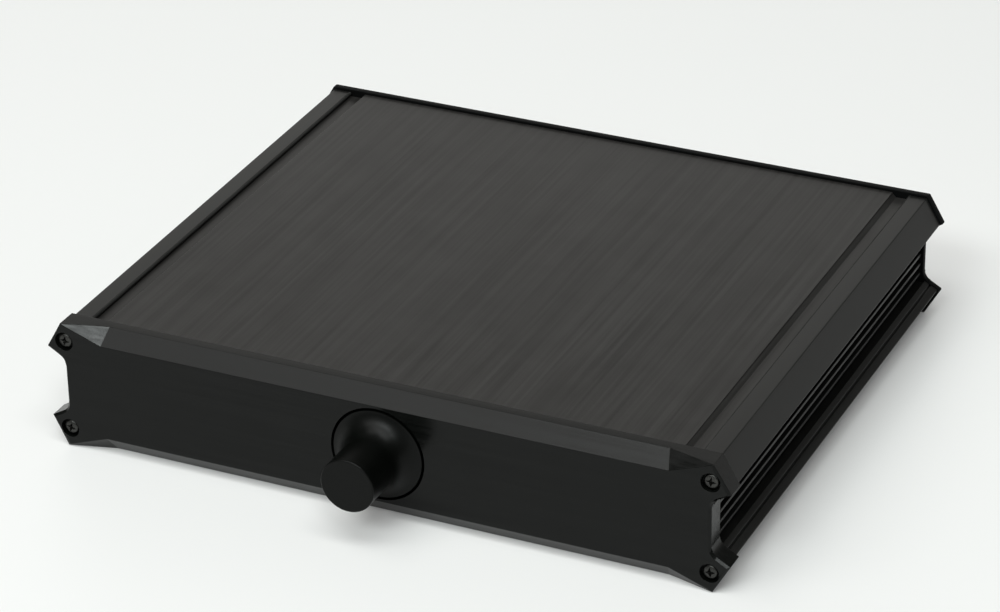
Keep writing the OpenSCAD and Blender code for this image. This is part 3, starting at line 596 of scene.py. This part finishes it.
# %% A tree for cross-head screws
SCREW_STEPS = 40
WEDGE_TOP, WEDGE_FOOT, WEDGE_DEEP = 1.75, 0.5, 1.4  # a wedge's reach at the mouth and the foot, and its depth
WEDGE_SINK = 1.25  # its foot's depth below the top of the head
WEDGE_STRETCH = (1.42, 0.5, 1.0)  # makes a square wedge long and slim
screw_tree, given, result = new_tree("cross-head screws", {
    "Geometry": "Geometry", "Outline": "Object", "Facing": "Rotation", "Head Height": "Float",
    "Finish": "Material"})
source = add(screw_tree, "GeometryNodeObjectInfo", {"Object": given["Outline"]}).outputs["Geometry"]
cut = add(screw_tree, "GeometryNodeGroup", {
    "Outline": source, "Steps": SCREW_STEPS}, node_tree=lathe).outputs[0]
wedge = add(screw_tree, "GeometryNodeMeshCone", {
    "Vertices": 4, "Radius Top": WEDGE_TOP * MM, "Radius Bottom": WEDGE_FOOT * MM,
    "Depth": WEDGE_DEEP * MM}).outputs["Mesh"]
slim = add(screw_tree, "GeometryNodeTransform", {
    "Geometry": wedge, "Rotation": (0, 0, QUARTER / 2), "Scale": WEDGE_STRETCH}).outputs[0]
foot = add(screw_tree, "ShaderNodeMath", {
    0: given["Head Height"], 1: WEDGE_SINK * MM}, operation="SUBTRACT").outputs[0]
base = add(screw_tree, "ShaderNodeCombineXYZ", {"Z": foot}).outputs[0]
for turn in (0, QUARTER):
    arm = add(screw_tree, "GeometryNodeTransform", {
        "Geometry": slim, "Translation": base, "Rotation": (0, 0, turn)}).outputs[0]
    cut = add(screw_tree, "GeometryNodeMeshBoolean", {
        "Mesh 1": cut, "Mesh 2": arm}, operation="DIFFERENCE", solver="EXACT").outputs[0]
spin = add(screw_tree, "GeometryNodeInputNamedAttribute", {
    "Name": "turn"}, data_type="FLOAT").outputs["Attribute"]
own = add(screw_tree, "FunctionNodeAxisAngleToRotation", {"Axis": (0, 0, 1), "Angle": spin}).outputs[0]
aimed = add(screw_tree, "FunctionNodeRotateRotation", {
    "Rotation": own, "Rotate By": given["Facing"]}, rotation_space="GLOBAL").outputs[0]
copies = add(screw_tree, "GeometryNodeInstanceOnPoints", {
    "Points": given["Geometry"], "Instance": cut, "Rotation": aimed}).outputs[0]
end_tree(screw_tree, copies, given["Finish"], result)
print("screw tree:", len(screw_tree.nodes), "nodes")

# %% [markdown]
# A screw's outline is a shank with a broken tip, a straight-sided head and a low dome. The front screws
# sit in their sunk seats, and the rear ones lie on the plate, so the two sets differ in length and in the
# way they face. Both are points with a turn each, and the tree does the rest.

# %% Screws of the front and rear panels
HEAD_R, HEAD_H, WALL_DROP = 2.75, 2.0, 1.0  # radius and height of a head, and its wall's end below the top
SHOULDER_SHARE, SHOULDER_DROP = 0.95, 0.66  # the bend above it: share of the radius, and place below the top
DOME_SHARE, DOME_DROP, DOME_STEPS = 0.86, 0.42, 6  # the dome's edge, given in the same way
SHANK_R, TIP_IN, TIP_LONG = 1.47, 0.3, 0.4  # radius of the shank, and the tip's taper
SUNK = 0.4  # depth of a front screw's head below the panel's face


def screw_outline(length):
    """Half the section of a pan-head screw that is seated at 0 and reaches length below it, in mm."""
    shank = [(0, -length), (SHANK_R - TIP_IN, -length), (SHANK_R, -length + TIP_LONG), (SHANK_R, 0)]
    wall = [(HEAD_R, 0), (HEAD_R, HEAD_H - WALL_DROP), (HEAD_R * SHOULDER_SHARE, HEAD_H - SHOULDER_DROP)]
    dome = [(HEAD_R * DOME_SHARE * k / DOME_STEPS, HEAD_H - DOME_DROP * (k / DOME_STEPS) ** 2)
            for k in reversed(range(DOME_STEPS + 1))]
    return shank + wall + dome


# A set's node, the place of its seats, the way it faces, and each screw's own turn, in degrees
for node, seat_y, facing, turns in (
        ("front_screws", front_y + (HEAD_H + SUNK) * MM, 90, (30, 38, 52, 41)),
        ("rear_screws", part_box("rear_panel")[1].y, -90, (12, 64, 25, 80))):
    low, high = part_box(node)
    length = (high.y - low.y) / MM - HEAD_H
    outline_object = outline_holder(screw_outline(length), node + "_outline")
    mesh = bpy.data.meshes.new(node + "_places")
    mesh.from_pydata([(s.x, seat_y, s.y + mid_z) for s in screws], [], [])
    turn = mesh.attributes.new("turn", "FLOAT", "POINT")
    turn.data.foreach_set("value", [math.radians(t) for t in turns])
    holder = new_object(node + "_places", mesh)
    run_tree(screw_tree, holder, {
        "Outline": outline_object, "Facing": (math.radians(facing), 0, 0),
        "Head Height": HEAD_H * MM, "Finish": finishes["screw_black_steel"]})
    piece = settle(holder, node + "_cross_head", "case", [node])
    bpy.data.objects.remove(outline_object)
    print(f"{piece.name}: {len(piece.data.polygons)} faces on {len(screws)} screws, {length:.1f} mm long")

# %% [markdown]
# A plain pale floor shows a dark case best. It takes the case's shadow, and for the camera and for
# reflections a small share of it is plain pale light, which keeps it white.

# %% The floor
FLOOR_HALF = 4.0  # half its width, in metres
PLAIN_SHARE = 0.1  # the share of plain light


def pale_floor():
    """A pale satin floor that keeps shadows."""
    material = new_material("pale satin floor")
    tree = material.node_tree
    shader = add(tree, "ShaderNodeBsdfPrincipled", {"Base Color": linear("#e7e7e6"), "Roughness": 0.5})
    plain = add(tree, "ShaderNodeEmission", {"Color": linear("#ffffff"), "Strength": 1.0})
    ray = add(tree, "ShaderNodeLightPath").outputs
    seen = ray["Is Camera Ray"]
    for kind in ("Is Glossy Ray", "Is Transmission Ray"):
        seen = add(tree, "ShaderNodeMath", {0: seen, 1: ray[kind]}, operation="MAXIMUM").outputs[0]
    share = add(tree, "ShaderNodeMath", {0: seen, 1: PLAIN_SHARE}, operation="MULTIPLY").outputs[0]
    mixed = add(tree, "ShaderNodeMixShader", {0: share, 1: shader.outputs[0], 2: plain.outputs[0]})
    add(tree, "ShaderNodeOutputMaterial", {"Surface": mixed.outputs[0]})
    return material


corners = [(x * FLOOR_HALF, y * FLOOR_HALF, 0) for x, y in ((-1, -1), (1, -1), (1, 1), (-1, 1))]
mesh = bpy.data.meshes.new("floor")
mesh.from_pydata(corners, [], [(0, 1, 2, 3)])
mesh.materials.append(pale_floor())
floor = new_object("floor", mesh)
floor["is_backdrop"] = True
print(f"floor: {floor.dimensions.x:.0f} x {floor.dimensions.y:.0f} m")

# %% [markdown]
# Black metal is drawn by what it mirrors, so the room matters as much as the lamps. It is dim overhead and
# in front, paler low behind the case, and brightest there on the left. The top mirrors that side as a
# grey sheen, which grows towards the back, while the faces that look elsewhere stay dark. The camera
# itself sees a plain pale backdrop.

# %% The room
BRIGHT_SIDE = (-0.465, 0.874, 0.139)  # the way to the brightest place
DIM, HAZE, GLOW = 0.15, 0.75, 1.35  # light all round, more of it behind the case, and more on the bright side
HAZE_FALL, GLOW_FALL = 4.0, 12.0  # the powers by which the last two fade
world = bpy.data.worlds.new("pale room")
bpy.context.scene.world = world
world.use_nodes = True
tree = world.node_tree
tree.nodes.clear()
way = add(tree, "ShaderNodeTexCoord").outputs["Generated"]
parts = add(tree, "ShaderNodeSeparateXYZ", {0: way}).outputs
height = add(tree, "ShaderNodeMath", {0: parts["Z"]}, operation="ABSOLUTE").outputs[0]
low = add(tree, "ShaderNodeMath", {0: 1.0, 1: height}, operation="SUBTRACT").outputs[0]
low = add(tree, "ShaderNodeMath", {0: low, 1: HAZE_FALL}, operation="POWER").outputs[0]
behind = add(tree, "ShaderNodeMath", {0: parts["Y"], 1: low}, operation="MULTIPLY", use_clamp=True).outputs[0]
haze = add(tree, "ShaderNodeMath", {0: behind, 1: HAZE, 2: DIM}, operation="MULTIPLY_ADD").outputs[0]
facing = add(tree, "ShaderNodeVectorMath", {0: way, 1: BRIGHT_SIDE}, operation="DOT_PRODUCT").outputs["Value"]
facing = add(tree, "ShaderNodeMath", {0: facing, 1: 0.0}, operation="MAXIMUM").outputs[0]
facing = add(tree, "ShaderNodeMath", {0: facing, 1: GLOW_FALL}, operation="POWER").outputs[0]
glow = add(tree, "ShaderNodeMath", {0: facing, 1: GLOW, 2: haze}, operation="MULTIPLY_ADD").outputs[0]
room = add(tree, "ShaderNodeBackground", {"Color": linear("#f4f3ef"), "Strength": glow})
backdrop = add(tree, "ShaderNodeBackground", {"Color": linear("#f2f2f0"), "Strength": 1.0})
ray = add(tree, "ShaderNodeLightPath").outputs["Is Camera Ray"]
mixed = add(tree, "ShaderNodeMixShader", {0: ray, 1: room.outputs[0], 2: backdrop.outputs[0]})
add(tree, "ShaderNodeOutputWorld", {"Surface": mixed.outputs[0]})
print("room:", len(tree.nodes), "nodes")

# %% [markdown]
# Oval area lamps give a soft light with soft reflections. A wide one high in front gives most of the
# light, two small ones below it draw the bright edges, and two weak ones on the left fill the chamfers
# and their soft upper edge.

# %% Lamps
LAMP_AWAY = 4.0  # metres from the case


def toward(azimuth, elevation):
    """The way from the case to a place in front of it, in degrees. A positive azimuth is on the right."""
    a, e = math.radians(azimuth), math.radians(elevation)
    return Vector((math.sin(a) * math.cos(e), -math.cos(a) * math.cos(e), math.sin(e)))


def lamp(name, azimuth, elevation, size, watts, code):
    """An oval lamp that faces the case, with its size in metres and its colour as a hex code."""
    data = bpy.data.lights.new(name, "AREA")
    data.shape = "ELLIPSE"
    data.size, data.size_y = size
    data.energy = watts
    data.color = linear(code)[:3]
    made = new_object(name, data)
    way = toward(azimuth, elevation)
    made.location = way * LAMP_AWAY
    made.rotation_mode = "QUATERNION"
    made.rotation_quaternion = way.to_track_quat("Z", "Y")


lamp("high lamp", 17, 70, (3.8, 1.6), 94, "#f2f5f4")
lamp("left edge lamp", -2, 40.5, (1.8, 0.85), 66, "#eff5f4")
lamp("right edge lamp", 31, 45, (0.9, 0.9), 27, "#eff5f4")
lamp("upper left lamp", -74, 66, (1.7, 1.5), 16, "#f4f4f2")
lamp("fill lamp", -38, 43, (2.4, 1.8), 35, "#f4f4f2")

# %% [markdown]
# The camera stands a little to the right and looks down on the case through a long lens. Its place was
# found by matching the case's straight edges, so it is given as a turn, a tilt, a roll and a distance,
# with a small shift aside and up that sets the frame. All are measured from the middle of the panel's
# upper front edge.

# %% Camera
YAW, PITCH, ROLL = 25.13, 28.26, -0.95  # degrees
DISTANCE, ASIDE, RISE = 1.32407, 0.04239, 0.02916  # metres
LENS, SENSOR = 140.25, 36  # mm
CLIP_NEAR, CLIP_FAR = 0.05, 20  # metres
back = toward(YAW, PITCH)
level = Vector((math.cos(math.radians(YAW)), math.sin(math.radians(YAW)), 0))
steep = back.cross(level)
roll = math.radians(ROLL)
right = math.cos(roll) * level + math.sin(roll) * steep
up = -math.sin(roll) * level + math.cos(roll) * steep
brow = Vector((0, front_y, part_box("front_panel")[1].z))
data = bpy.data.cameras.new("camera")
data.lens = LENS
data.sensor_width = SENSOR
data.clip_start = CLIP_NEAR
data.clip_end = CLIP_FAR
place = Matrix((right, up, back)).transposed().to_4x4()
place.translation = brow + right * ASIDE + up * RISE + back * DISTANCE
camera = new_object("camera", data)
camera.matrix_world = place
bpy.context.scene.camera = camera
bpy.context.scene.view_settings.view_transform = "Standard"
print("camera at", [round(v, 3) for v in camera.location])

# %% [markdown]
# The dressed model must stay as large as the solids, so its box is measured again at the end and set
# against the solids' box.

# %% Sizes
new_low, new_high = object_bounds()
differs = max((new_low - cad_low).length, (new_high - cad_high).length) / MM
print("visual box differs by", round(differs, 3), "mm")
